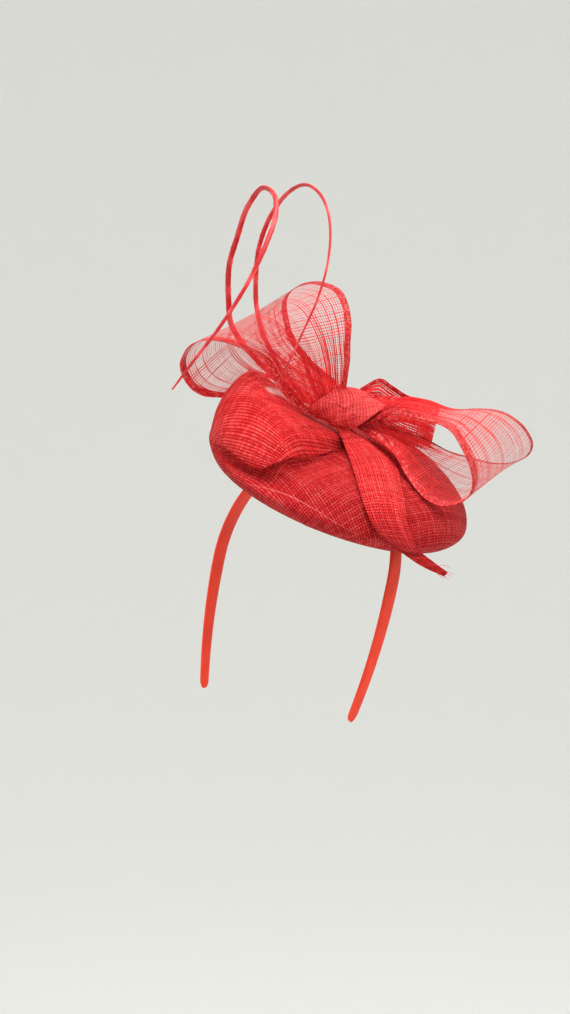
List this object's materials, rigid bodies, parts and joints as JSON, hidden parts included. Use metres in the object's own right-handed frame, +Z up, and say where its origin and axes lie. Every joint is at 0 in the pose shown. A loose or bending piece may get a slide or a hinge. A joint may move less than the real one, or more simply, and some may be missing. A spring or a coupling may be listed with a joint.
{
  "type": "fascinator",
  "caption": "Hollow draped sinamay cap on a headband, with a looped bow, a leaf tail and curled stripped quills, worn on the side of the head.",
  "frame": {"origin": "the inner top of the headband, where it sits on the head", "axes": "+Z is up, the wearer faces -Y and the wearer's right is -X. The trims face the wearer's back right, towards -X and +Y"},
  "size_m": [0.1855, 0.1825, 0.2858],
  "materials": {
    "satin": "orange-red satin ribbon wound smoothly over the band, soft sheen",
    "cap_sinamay": "stiff close layers of woven straw cloth, dull with a light sheen on the threads",
    "ribbon": "plain narrow ribbon, matt",
    "bow_sinamay": "single open weave of stiff straw threads, see-through, with folded hems",
    "quill": "smooth dyed quill, satin gloss"
  },
  "bodies": {
    "root": {"headband": "satin", "draped_cap": "cap_sinamay", "under_strap": "ribbon", "bow_knot": "bow_sinamay", "bow_loop_upper": "bow_sinamay", "bow_loop_lower": "bow_sinamay", "bow_loop_small": "bow_sinamay", "leaf_tail": "bow_sinamay", "quill_left": "quill", "quill_right": "quill"}
  },
  "joints": []
}
